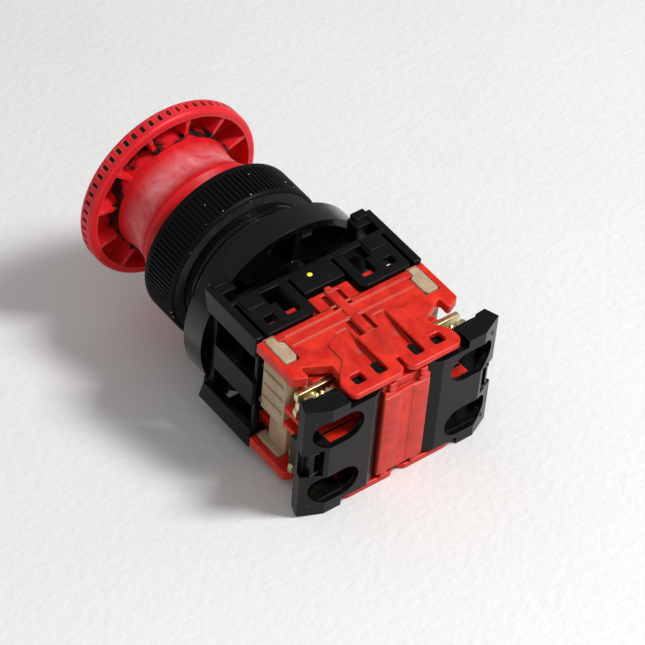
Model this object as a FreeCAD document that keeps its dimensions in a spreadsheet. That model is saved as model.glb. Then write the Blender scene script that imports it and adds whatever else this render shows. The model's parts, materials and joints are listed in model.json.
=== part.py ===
import FreeCAD, Part
import Sketcher
import math
import os
import re

# Emergency stop button, mushroom head with a turn-to-release lock, two contact poles.
#
# Local frame of every sub-part: x across, y up, z along the button axis towards the head.
# z = 0 is the panel plane, the front face of the flange behind the panel.
# TO_ROW turns the local frame so that the head looks along -Y and +Z is up.

SIZES = {
    # head
    "head_radius": 20.0,
    "head_back": 31.5,
    "head_rim_front": 34.6,
    "dome_front": 39.0,
    "hollow_radius": 18.3,
    "hollow_floor": 36.0,
    "hub_radius": 13.4,
    "socket_radius": 12.3,
    "rib_width": 0.8,
    "rib_count": 12,
    "notch_count": 60,
    "notch_width": 0.95,
    "notch_depth": 0.6,
    # skirt between head and neck
    "skirt_radius": 12.7,
    "skirt_bore": 11.2,
    "skirt_rear": 9.0,
    "lip_radius": 14.3,
    "lip_plane": 21.0,
    "waist_arc": 14.0,
    "seal_plane": 10.2,
    "seal_wire": 0.55,
    # push shaft and lock
    "shaft_radius": 5.0,
    "shaft_front": 35.3,
    "shoulder_radius": 10.6,
    "shoulder_plane": 18.0,
    "shoulder_depth": 2.0,
    "shaft_end": -12.0,
    "journal_radius": 4.0,
    "pin_radius": 1.2,
    "pin_reach": 7.4,
    "pin_root": 3.0,
    "latch_wire": 0.18,
    "latch_spring_radius": 0.8,
    "push_stroke": 4.0,
    "pin_stroke": 0.7,
    "return_wire": 0.6,
    "return_radius": 8.6,
    "sleeve_radius": 9.9,
    # neck, flange and ring nut
    "neck_radius": 14.8,
    "neck_front": 12.0,
    "neck_bore": 13.0,
    "bore_floor": 1.6,
    "rear_bore": 10.0,
    "flange_radius": 20.5,
    "flange_depth": 6.0,
    "flange_wall": 1.6,
    "thread_pitch": 1.5,
    "thread_depth": 0.4,
    "ring_radius": 17.8,
    "ring_back": 7.45,
    "ring_front": 16.7,
    "ring_bore": 14.87,
    "ring_mouth": 15.4,
    "knurl_count": 108,
    "knurl_depth": 0.35,
    "knurl_width": 0.52,
    "washer_depth": 1.0,
    "washer_radius": 17.0,
    # base frame
    "base_half_width": 19.4,
    "base_half_height": 14.7,
    "base_front": -4.4,
    "base_rear": -21.0,
    "side_wall": 1.8,
    "deck_depth": 2.5,
    "window_low": 3.1,
    "window_high": 9.6,
    "middle_front": -8.6,
    "post_face": 18.5,
    "deck_front": -10.2,
    "deck_beam": 1.1,
    "hook_outer": 16.9,
    "hook_inner": 5.4,
    "tab_half": 4.75,
    "tab_rear": -16.3,
    "web_count": 8,
    "web_width": 1.2,
    # contact block
    "block_half_height": 13.8,
    "block_rear": -42.35,
    "plate_depth": 2.2,
    "flange_rear": -32.4,
    "core_half_width": 5.3,
    "middle_half_width": 14.7,
    "loop_rise": 0.5,
    "ridge_rise": 0.45,
    "pole_x": 11.5,
    "shelf_low": -0.8,
    "shelf_high": 3.1,
    "shelf_wall": 1.1,
    "partition_half": 16.3,
    "plunger_radius": 1.8,
    "plunger_front": -10.6,
    "clip_inner": 14.8,
    "clip_outer": 18.0,
    # terminals and covers
    "screw_x": 15.2,
    "screw_y": 7.6,
    "screw_radius": 1.75,
    "screw_head_radius": 3.2,
    "screw_head_rear": -38.3,
    "cover_rear": -42.5,
    "cover_half_height": 14.0,
    "cover_front": -39.0,
    "cover_inner": 5.4,
    "cavity_inner": 8.4,
    "cover_wall": 1.3,
    "notch_low": -3.4,
    "notch_high": 2.6,
    "oval_width": 10.8,
    "oval_height": 7.2,
}

doc = FreeCAD.newDocument("EmergencyStop")
sheet = doc.addObject("Spreadsheet::Sheet", "Sizes")
for row, (alias, number) in enumerate(SIZES.items(), start=1):
    sheet.set("A%d" % row, alias)
    sheet.set("B%d" % row, str(number))
    sheet.setAlias("B%d" % row, alias)
doc.recompute()

V = FreeCAD.Vector
TO_ROW = FreeCAD.Placement(V(0, 0, 0), FreeCAD.Rotation(V(1, 0, 0), 90))
nodes = []


def bound(text):
    """The expression with each sheet alias (a word with an underscore) spelt in full."""
    return re.sub(r"\b[a-z]+_\w+\b", lambda word: "Sizes." + word.group(0), str(text))


def size(text):
    """The number that an expression of sheet aliases gives."""
    return float(sheet.evalExpression(bound(text)))


def bind(thing, prop, text):
    """Binds a property to an expression and sets it to the same number."""
    thing.setExpression(prop, bound(text))


def keep(thing, label):
    """Makes a finished object a sub-part of its own."""
    thing.Label = label
    nodes.append(thing)
    return thing


def mirrored_span(side, low, high):
    """An x span on one side of the middle plane."""
    return (low, high) if side > 0 else ("-(%s)" % high, "-(%s)" % low)


def signed(side, text):
    return text if side > 0 else "-(%s)" % text


SIDES = {"left": 1, "right": -1}
LEVELS = {"upper": 1, "lower": -1}


# ---------------------------------------------------------------- sketches and bodies


def new_body(name):
    return doc.addObject("PartDesign::Body", name + "_body")


def origin_part(body, role):
    return [item for item in body.Origin.OriginFeatures if item.Role == role][0]


def new_sketch(body, role, offset="0"):
    """A sketch on one of the body's own origin planes, shifted along its normal."""
    sketch = body.newObject("Sketcher::SketchObject", body.Name + "_sketch")
    sketch.AttachmentSupport = [(origin_part(body, role), "")]
    sketch.MapMode = "FlatFace"
    bind(sketch, ".AttachmentOffset.Base.z", offset)
    return sketch


def pin_point(sketch, edge, end, point):
    for kind, text in zip(("DistanceX", "DistanceY"), point):
        index = sketch.addConstraint(Sketcher.Constraint(kind, -1, 1, edge, end, size(text)))
        bind(sketch, "Constraints[%d]" % index, text)


def arc_between(start, stop, radius):
    """The shorter arc of a signed radius: a positive one has its centre left of the way."""
    chord = stop - start
    side = V(-chord.y, chord.x, 0).normalize()
    rise = math.sqrt(radius * radius - chord.Length ** 2 / 4)
    centre = (start + stop) / 2 + side * math.copysign(rise, radius)
    circle = Part.Circle(centre, V(0, 0, 1), abs(radius))
    first, last = circle.parameter(start), circle.parameter(stop)
    if radius < 0:
        first, last = last, first
    return Part.ArcOfCircle(circle, first, last)


def outline(sketch, points):
    """A closed outline. A third item makes the side that ends at that point an arc, and a
    minus sign in front of the radius puts its centre to the right of the way."""
    first_edge = sketch.GeometryCount
    count = len(points)
    spots = [V(size(point[0]), size(point[1]), 0) for point in points]
    flipped = []
    for index, point in enumerate(points):
        start, stop = spots[index - 1], spots[index]
        if len(point) < 3:
            sketch.addGeometry(Part.LineSegment(start, stop), False)
            flipped.append(False)
            continue
        radius = size(point[2])
        edge = sketch.addGeometry(arc_between(start, stop, radius), False)
        rule = sketch.addConstraint(Sketcher.Constraint("Radius", edge, abs(radius)))
        bind(sketch, "Constraints[%d]" % rule, point[2].lstrip("-"))
        flipped.append(radius < 0)
    for index, point in enumerate(points):
        edge = first_edge + index
        following = first_edge + (index + 1) % count
        end = 1 if flipped[index] else 2
        start = 2 if flipped[(index + 1) % count] else 1
        sketch.addConstraint(Sketcher.Constraint("Coincident", edge, end, following, start))
        pin_point(sketch, edge, end, point[:2])


def ring_outline(sketch, x, y, radius):
    edge = sketch.addGeometry(Part.Circle(V(size(x), size(y), 0), V(0, 0, 1), size(radius)), False)
    rule = sketch.addConstraint(Sketcher.Constraint("Radius", edge, size(radius)))
    bind(sketch, "Constraints[%d]" % rule, radius)
    pin_point(sketch, edge, 3, (x, y))


def box_points(x0, x1, y0, y1):
    return [(x0, y0), (x1, y0), (x1, y1), (x0, y1)]


def oval_points(x, y, width, height):
    """A stadium: two straight sides and two round ends, each of two quarter arcs."""
    half, rise = "(%s - %s) / 2" % (width, height), "%s / 2" % height
    left, right = "%s - %s" % (x, half), "%s + %s" % (x, half)
    return [
        (right, "%s - %s" % (y, rise)),
        ("%s + %s" % (right, rise), y, rise),
        (right, "%s + %s" % (y, rise), rise),
        (left, "%s + %s" % (y, rise)),
        ("%s - %s" % (left, rise), y, rise),
        (left, "%s - %s" % (y, rise), rise),
    ]


def revolve(body, points, cut=False):
    """Turns an outline of (radius, z) points about the button axis."""
    sketch = new_sketch(body, "XZ_Plane")
    outline(sketch, points)
    kind = "PartDesign::Groove" if cut else "PartDesign::Revolution"
    feature = body.newObject(kind, body.Name + "_turn")
    feature.Profile = sketch
    feature.ReferenceAxis = (origin_part(body, "Z_Axis"), [""])
    feature.Angle = 360
    return feature


def extrude(body, shapes, low, high, cut=False, role="XY_Plane"):
    """Pads or pockets outlines between two levels along the normal of an origin plane.
    A shape is a list of points, or (x, y, radius) for a circle. The XZ plane's normal
    is -y, so there the levels are measured downwards."""
    sketch = new_sketch(body, role, high if cut else low)
    for shape in shapes:
        if isinstance(shape, tuple):
            ring_outline(sketch, *shape)
        else:
            outline(sketch, shape)
    kind = "PartDesign::Pocket" if cut else "PartDesign::Pad"
    feature = body.newObject(kind, body.Name + "_level")
    feature.Profile = sketch
    bind(feature, "Length", "(%s) - (%s)" % (high, low))
    return feature


def around(body, features, count):
    """Repeats features evenly about the button axis."""
    doc.recompute()
    pattern = body.newObject("PartDesign::PolarPattern", body.Name + "_round")
    pattern.Originals = features
    pattern.Axis = (origin_part(body, "Z_Axis"), [""])
    pattern.Angle = 360
    bind(pattern, "Occurrences", count)
    body.Tip = pattern
    doc.recompute()
    return pattern


def edges_where(shape, test):
    """Names of the edges whose middle point and direction pass a test."""
    names = []
    for index, edge in enumerate(shape.Edges, start=1):
        middle = edge.valueAt((edge.FirstParameter + edge.LastParameter) / 2)
        if test(edge, middle):
            names.append("Edge%d" % index)
    return names


def soften(body, kind, amount, test):
    """Fillets or chamfers the edges of the body's tip that pass a test."""
    doc.recompute()
    base = body.Tip
    names = edges_where(base.Shape, test)
    feature = body.newObject("PartDesign::" + kind, body.Name + "_edge")
    feature.Base = (base, names)
    bind(feature, "Radius" if kind == "Fillet" else "Size", amount)
    body.Tip = feature
    doc.recompute()
    return feature


def finish(body, label, turn=0):
    """Turns the body about the button axis by some degrees, then into the row frame."""
    doc.recompute()
    body.Placement = TO_ROW.multiply(FreeCAD.Placement(V(0, 0, 0), FreeCAD.Rotation(V(0, 0, 1), turn)))
    return keep(body, label)


# ---------------------------------------------------------------- plain primitives


def block(name, x, y, z):
    """A box between pairs of expressions on each axis."""
    box = doc.addObject("Part::Box", name)
    for prop, (low, high) in zip(("Length", "Width", "Height"), (x, y, z)):
        bind(box, prop, "(%s) - (%s)" % (high, low))
    for axis, (low, high) in zip("xyz", (x, y, z)):
        bind(box, ".Placement.Base." + axis, low)
    return box


def rod(name, radius, low, high, x="0", y="0"):
    """A cylinder along z."""
    tube = doc.addObject("Part::Cylinder", name)
    bind(tube, "Radius", radius)
    bind(tube, "Height", "(%s) - (%s)" % (high, low))
    for axis, text in zip("xyz", (x, y, low)):
        bind(tube, ".Placement.Base." + axis, text)
    return tube


def join(name, things):
    fuse = doc.addObject("Part::MultiFuse", name)
    fuse.Shapes = things
    return fuse


def group(name, things):
    compound = doc.addObject("Part::Compound", name)
    compound.Links = things
    return compound


def remove(name, base, tools):
    cut = doc.addObject("Part::Cut", name)
    cut.Base = base
    cut.Tool = tools[0] if len(tools) == 1 else join(name + "_tools", tools)
    return cut


def place(thing, label):
    """A finished boolean or compound, turned into the row frame."""
    thing.Placement = TO_ROW
    return keep(thing, label)


# ---------------------------------------------------------------- springs


def spring(label, radius, wire, length, turns, start):
    """A compression spring of round wire, which runs along z from a start placement."""
    span = size(length) - 2 * size(wire)
    helix = Part.makeLongHelix(span / turns, span, size(radius))
    section = Part.Wire([Part.Circle(V(size(radius), 0, 0), V(0, 1, 0), size(wire)).toShape()])
    feature = doc.addObject("Part::Feature", label + "_shape")
    feature.Shape = Part.Wire(helix.Edges).makePipeShell([section], True, True)
    inset = FreeCAD.Placement(V(0, 0, size(wire)), FreeCAD.Rotation())
    feature.Placement = TO_ROW.multiply(start).multiply(inset)
    return keep(feature, label)


def standing(x, z):
    """A placement at a place along x and z, facing along the button axis."""
    return FreeCAD.Placement(V(size(x), 0, size(z)), FreeCAD.Rotation())


def sideways(x):
    """A placement on the middle line, facing along x."""
    return FreeCAD.Placement(V(x, 0, 0), FreeCAD.Rotation(V(0, 0, 1), V(1, 0, 0)))


# ---------------------------------------------------------------- operator


DOME_SPAN = "head_radius - 1.1"
DOME_RISE = "dome_front - head_rim_front - 1.15"


def mushroom_head():
    body = new_body("head")
    revolve(body, [
        ("0", "hollow_floor"),
        ("socket_radius", "hollow_floor"),
        ("socket_radius", "head_back + 0.2"),
        ("hub_radius", "head_back + 0.2"),
        ("hub_radius", "hollow_floor"),
        ("hollow_radius - 0.2", "hollow_floor"),
        ("hollow_radius", "head_back"),
        ("head_radius - 0.9", "head_back"),
        ("head_radius", "head_back + 0.9", "0.9"),
        ("head_radius", "head_rim_front"),
        ("head_radius - 1.1", "head_rim_front + 1.15", "1.5"),
        ("0", "dome_front", "((%s)^2 + (%s)^2) / (2 * (%s))" % (DOME_SPAN, DOME_RISE, DOME_RISE)),
    ])
    rib = extrude(body, [box_points("hub_radius - 0.3", "hollow_radius", "-rib_width / 2", "rib_width / 2")],
                  "head_back + 0.35", "hollow_floor + 0.2")
    around(body, [rib], "rib_count")
    notch = extrude(body, [box_points("head_radius - notch_depth", "head_radius + 1",
                                      "-notch_width / 2", "notch_width / 2")],
                    "head_back + 1.3", "head_rim_front - 0.1", cut=True)
    around(body, [notch], "notch_count")
    finish(body, "mushroom_head", turn=10)


def head_skirt():
    body = new_body("skirt")
    revolve(body, [
        ("shaft_radius + 0.1", "head_back + 1.9"),
        ("shaft_radius + 0.1", "hollow_floor - 0.6"),
        ("socket_radius - 0.1", "hollow_floor - 0.6"),
        ("socket_radius - 0.1", "head_back + 0.1"),
        ("hub_radius - 0.1", "head_back + 0.1"),
        ("lip_radius", "lip_plane + 0.3", "waist_arc"),
        ("lip_radius", "lip_plane - 0.2"),
        ("skirt_radius", "lip_plane - 2.0"),
        ("skirt_radius", "seal_plane + seal_wire + 0.05"),
        ("skirt_radius - 2 * seal_wire + 0.15", "seal_plane + seal_wire + 0.05"),
        ("skirt_radius - 2 * seal_wire + 0.15", "seal_plane - seal_wire - 0.05"),
        ("skirt_radius", "seal_plane - seal_wire - 0.05"),
        ("skirt_radius", "skirt_rear"),
        ("skirt_bore", "skirt_rear"),
        ("skirt_bore", "head_back + 1.9"),
    ])
    finish(body, "head_skirt")


def skirt_seal():
    torus = doc.addObject("Part::Torus", "seal_ring")
    bind(torus, "Radius1", "skirt_radius - seal_wire + 0.2")
    bind(torus, "Radius2", "seal_wire - 0.02")
    bind(torus, ".Placement.Base.z", "seal_plane")
    place(group("seal_group", [torus]), "skirt_seal")


def push_shaft():
    body = new_body("shaft")
    revolve(body, [
        ("0", "shaft_end"),
        ("journal_radius", "shaft_end"),
        ("journal_radius", "shaft_end + 4"),
        ("shaft_radius", "shaft_end + 4"),
        ("shaft_radius", "shoulder_plane"),
        ("shoulder_radius", "shoulder_plane"),
        ("shoulder_radius", "shoulder_plane + shoulder_depth"),
        ("shaft_radius", "shoulder_plane + shoulder_depth"),
        ("shaft_radius", "shaft_front"),
        ("0", "shaft_front"),
    ])
    extrude(body, [("0", "0", "pin_radius + 0.05")], "-shaft_radius - 1", "shaft_radius + 1",
            cut=True, role="YZ_Plane")
    soften(body, "Chamfer", "0.4", lambda edge, at: abs(at.z - size("shaft_end")) < 0.01)
    finish(body, "push_shaft")


def latch_pins():
    """Two pins in the shaft's cross bore, each with a tapered nose."""
    for name, side in SIDES.items():
        shank = doc.addObject("Part::Cylinder", "pin_shank_" + name)
        bind(shank, "Radius", "pin_radius")
        bind(shank, "Height", "pin_reach - pin_root - 0.6")
        nose = doc.addObject("Part::Cone", "pin_nose_" + name)
        bind(nose, "Radius1", "pin_radius")
        bind(nose, "Radius2", "pin_radius - 0.5")
        bind(nose, "Height", "0.6")
        bind(nose, ".Placement.Base.z", "pin_reach - pin_root - 0.6")
        pin = join("pin_" + name, [shank, nose])
        start = V(side * size("pin_root"), 0, 0)
        pin.Placement = TO_ROW.multiply(FreeCAD.Placement(start, FreeCAD.Rotation(V(0, 0, 1), V(side, 0, 0))))
        keep(pin, "latch_pin_" + name)


def latch_spring():
    left_end = sideways(-size("pin_root"))
    spring("latch_spring", "latch_spring_radius", "latch_wire", "2 * pin_root", 9, left_end)


def return_spring():
    spring("return_spring", "return_radius", "return_wire", "shoulder_plane - bore_floor - 1.27", 6,
           standing("0", "bore_floor + 1.25"))


def lock_sleeve():
    """Liner in the neck: its cone lets the latch pins spread as the shaft goes in."""
    slope = "pin_stroke / push_stroke"
    body = new_body("sleeve")
    revolve(body, [
        ("pin_reach + 0.25 - (%s) * 1.5" % slope, "bore_floor + 1.2"),
        ("neck_bore - 0.2", "bore_floor + 1.2"),
        ("neck_bore - 0.2", "bore_floor"),
        ("sleeve_radius", "bore_floor"),
        ("sleeve_radius", "-flange_depth"),
        ("pin_reach + 0.5 + pin_stroke", "-flange_depth"),
        ("pin_reach + 0.5 + pin_stroke", "-push_stroke - 1.2"),
        ("pin_reach + 0.25 - (%s) * 1.5" % slope, "1.5"),
    ])
    finish(body, "lock_sleeve")


def neck_housing():
    body = new_body("neck")
    revolve(body, [
        ("neck_radius - 0.5", "neck_front"),
        ("neck_bore", "neck_front"),
        ("neck_bore", "bore_floor"),
        ("rear_bore", "bore_floor"),
        ("rear_bore", "-flange_depth"),
        ("rear_bore + 1.6", "-flange_depth"),
        ("rear_bore + 1.6", "-flange_wall - 0.2"),
        ("flange_radius - 1.5", "-flange_wall - 0.2"),
        ("flange_radius - 1.5", "-flange_depth"),
        ("flange_radius", "-flange_depth"),
        ("flange_radius", "-0.5"),
        ("flange_radius - 0.5", "0"),
        ("neck_radius", "0"),
        ("neck_radius", "neck_front - 0.5"),
    ])
    groove = revolve(body, [
        ("neck_radius + 0.5", "1.2"),
        ("neck_radius - thread_depth", "1.65"),
        ("neck_radius - thread_depth", "1.8"),
        ("neck_radius + 0.5", "2.25"),
    ], cut=True)
    doc.recompute()
    thread = body.newObject("PartDesign::LinearPattern", "thread_row")
    thread.Originals = [groove]
    thread.Direction = (origin_part(body, "Z_Axis"), [""])
    turns = 7
    bind(thread, "Length", "thread_pitch * %d" % (turns - 1))
    thread.Occurrences = turns
    body.Tip = thread
    doc.recompute()
    web_plan = box_points("rear_bore + 1.2", "flange_radius - 1.2", "-web_width / 2", "web_width / 2")
    web = extrude(body, [web_plan], "-flange_depth + 0.4", "-flange_wall")
    around(body, [web], "web_count")
    # a key tab on the rim beside the upper web
    extrude(body, [box_points("-2.9", "-0.4", "flange_radius - 3.4", "flange_radius - 1.2")],
            "-flange_depth", "-flange_depth + 1.4")
    finish(body, "neck_housing", turn=5)


def ring_nut():
    body = new_body("ring")
    revolve(body, [
        ("washer_radius + 0.05", "ring_back"),
        ("ring_radius - 0.4", "ring_back"),
        ("ring_radius", "ring_back + 0.5"),
        ("ring_radius", "ring_front - 0.7"),
        ("ring_radius - 0.7", "ring_front", "0.7"),
        ("ring_mouth", "ring_front"),
        ("ring_mouth", "neck_front + 0.6"),
        ("ring_bore", "neck_front + 0.6"),
        ("ring_bore", "ring_back + washer_depth"),
        ("washer_radius + 0.05", "ring_back + washer_depth"),
    ])
    groove = extrude(body, [box_points("ring_radius - knurl_depth", "ring_radius + 1",
                                       "-knurl_width / 2", "knurl_width / 2")],
                     "ring_back + 0.6", "ring_front - 1.5", cut=True)
    around(body, [groove], "knurl_count")
    finish(body, "ring_nut")


def sealing_washer():
    outer = rod("washer_disc", "washer_radius", "ring_back + 0.02", "ring_back + washer_depth - 0.05")
    hole = rod("washer_hole", "neck_radius + 0.05", "ring_back - 1", "ring_back + 2")
    place(remove("washer_cut", outer, [hole]), "sealing_washer")


def actuator_yoke():
    """Crossbar on the shaft's rear end that presses both plungers."""
    hub = rod("yoke_hub", "journal_radius + 2.4", "shaft_end + 0.6", "shaft_end + 4")
    bar = block("yoke_bar", ("-pole_x - 2.6", "pole_x + 2.6"), ("-2.8", "2.8"),
                ("plunger_front + 0.1", "plunger_front + 1.9"))
    hole = rod("yoke_hole", "journal_radius + 0.03", "shaft_end - 1", "shaft_end + 5")
    place(remove("yoke_cut", join("yoke_body", [hub, bar]), [hole]), "actuator_yoke")


# ---------------------------------------------------------------- base frame


def mirror_image(points):
    """The outline across the middle plane, walked backwards, each arc with its own side."""
    image = []
    for index in reversed(range(len(points))):
        following = points[(index + 1) % len(points)]
        image.append(("-(%s)" % points[index][0], points[index][1]) + tuple(following[2:]))
    return image


def both(points):
    """An outline and its mirror image."""
    return [points, mirror_image(points)]


def plan(points):
    """A whole outline from the half on one side of the middle plane."""
    return points + mirror_image(points)


def both_faces(body, outlines, low, high, cut=False):
    """The same plan outlines between two heights above the middle plane and below it."""
    extrude(body, outlines, low, high, cut=cut, role="XZ_Plane")
    extrude(body, outlines, "-(%s)" % high, "-(%s)" % low, cut=cut, role="XZ_Plane")


# the gap at a deck's rear, seen in plan as (x, z): it leaves the tab and two hook plates
TAB_GAP = [
    ("hook_inner + 1.5", "base_rear - 1"),
    ("hook_inner + 1.5", "base_rear"),
    ("hook_inner", "base_rear + 1.5", "-1.5"),
    ("hook_inner", "deck_front - deck_beam"),
    ("tab_half", "deck_front - deck_beam"),
    ("tab_half", "tab_rear"),
]

# windows in a hook plate: a square one, and one that narrows beside the raised pad
HOOK_WINDOW = box_points("12.7", "15.1", "-18.9", "-16.9")
PAD_WINDOW = [
    ("7.4", "-18.8"),
    ("10.5", "-18.8"),
    ("10.5", "-14.9"),
    ("11.8", "-14.9"),
    ("11.8", "-11.6"),
    ("7.4", "-11.6"),
]


def base_frame():
    """Black cage between flange and contact block: two decks, and side walls of three bands."""
    body = new_body("base")
    wall_x, deck_y = "base_half_width - side_wall", "base_half_height - deck_depth"
    outer = box_points("-base_half_width", "base_half_width", "-base_half_height", "base_half_height")
    inner = box_points("-(%s)" % wall_x, wall_x, "-(%s)" % deck_y, deck_y)
    extrude(body, [outer, inner], "base_rear", "base_front")
    corner = size("base_half_width") - 0.1
    soften(body, "Chamfer", "0.6", lambda edge, at: abs(at.x) > corner and abs(at.y) > size("window_high")
           and abs(edge.tangentAt(edge.FirstParameter).z) > 0.99)
    # decks: open in front of the beam, slit beside the walls and the tab, and open behind the tab
    gaps = [box_points("-(%s)" % wall_x, wall_x, "deck_front", "0"), plan(TAB_GAP)]
    gaps += both(box_points("hook_outer", wall_x, "base_rear + 0.8", "deck_front - deck_beam"))
    both_faces(body, gaps, "%s - 0.5" % deck_y, "base_half_height + 1", cut=True)
    # side walls: windows round the middle band, with thinner posts at their rear and front
    across = ("-base_half_width - 1", "base_half_width + 1")
    windows = [box_points(*across, *mirrored_span(level, "window_low", "window_high"))
               for level in LEVELS.values()]
    extrude(body, windows, "base_rear + 0.9", "middle_front", cut=True)
    posts = []
    for side in SIDES.values():
        for level in LEVELS.values():
            posts.append(box_points(*mirrored_span(side, "post_face", "base_half_width + 1"),
                                    *mirrored_span(level, "window_low", "window_high")))
    extrude(body, posts, "base_rear - 1", "base_rear + 1", cut=True)
    fronts = both(box_points("post_face", "base_half_width + 1", "-window_high", "window_high"))
    extrude(body, fronts, "middle_front", "0", cut=True)
    # front plate behind the flange, in two halves beside the shaft
    halves = both(box_points("8.5", "base_half_width - 1.2", "-window_high - 0.8", "window_high + 0.8"))
    extrude(body, halves, "-flange_depth - 1.6", "-flange_depth")
    lug_height = "base_half_height - 0.1"
    corners = both(box_points("14.2", "base_half_width - 1.2", "-(%s)" % lug_height, lug_height))
    extrude(body, corners, "-flange_depth - 1.6", "-flange_depth")
    extrude(body, [("0", "0", "rear_bore + 0.6")], "-flange_depth - 3", "0", cut=True)
    extrude(body, [("0", "0", "flange_radius + 0.1")], "-flange_depth", "0", cut=True)
    # pads and corner lugs stand above both decks
    pads = both(box_points("12.2", "16.4", "-14.2", "-10.9"))
    lugs = both(box_points("15.0", "18.2", "-6.1", "base_front + 0.4"))
    both_faces(body, pads, "base_half_height - 0.5", "base_half_height + 0.35")
    both_faces(body, lugs, "base_half_height - 0.5", "base_half_height + 0.3")
    openings = both(HOOK_WINDOW) + both(PAD_WINDOW)
    both_faces(body, openings, "%s - 0.5" % deck_y, "base_half_height + 1", cut=True)
    finish(body, "base_frame")


# ---------------------------------------------------------------- contact block


FLANGE_PLAN = [
    ("base_half_width", "base_rear"),
    ("base_half_width", "flange_rear + 0.5"),
    ("base_half_width - 3.2", "flange_rear - 0.9"),
    ("base_half_width - 3.1", "flange_rear + 1.4"),
    ("base_half_width - 3.5", "flange_rear + 2.0"),
    ("11.0", "flange_rear - 0.6"),
    ("11.2", "flange_rear - 2.5"),
    ("12.8", "flange_rear - 5.5"),
    ("12.8", "block_rear + 1.6"),
    ("11.6", "block_rear + 0.4", "-1.6"),
    ("1.8", "block_rear + 0.4"),
    ("0.8", "block_rear + 1.4", "-1.0"),
    ("0.8", "block_rear + 5.0"),
]

LOOP_PLAN = [
    ("10.4", "flange_rear - 0.8"),
    ("10.6", "flange_rear - 2.7"),
    ("12.2", "flange_rear - 5.7"),
    ("12.2", "block_rear + 1.7"),
    ("11.4", "block_rear + 0.9", "-1.0"),
    ("2.0", "block_rear + 0.9"),
    ("1.3", "block_rear + 1.6", "-0.7"),
    ("1.3", "block_rear + 5.0"),
    ("6.3", "block_rear + 6.5"),
    ("7.0", "flange_rear - 0.8"),
]


# the long slot and the square catch hole of each loop, seen in plan
SLOT = box_points("3.4", "5.6", "-39.5", "-27.0")
CATCH_HOLE = box_points("8.0", "10.4", "-39.6", "-37.4")

# the pocket of a locking clip through both plates, with a narrower tail in front
CLIP_POCKET = [
    ("clip_outer + 0.1", "-28.3"),
    ("clip_inner - 0.1", "-28.3"),
    ("clip_inner - 0.1", "-22.9"),
    ("clip_inner + 0.8", "-22.9"),
    ("clip_inner + 0.8", "-20.0"),
    ("clip_outer - 0.7", "-20.0"),
    ("clip_outer - 0.7", "-22.9"),
    ("clip_outer + 0.1", "-22.9"),
]


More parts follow.
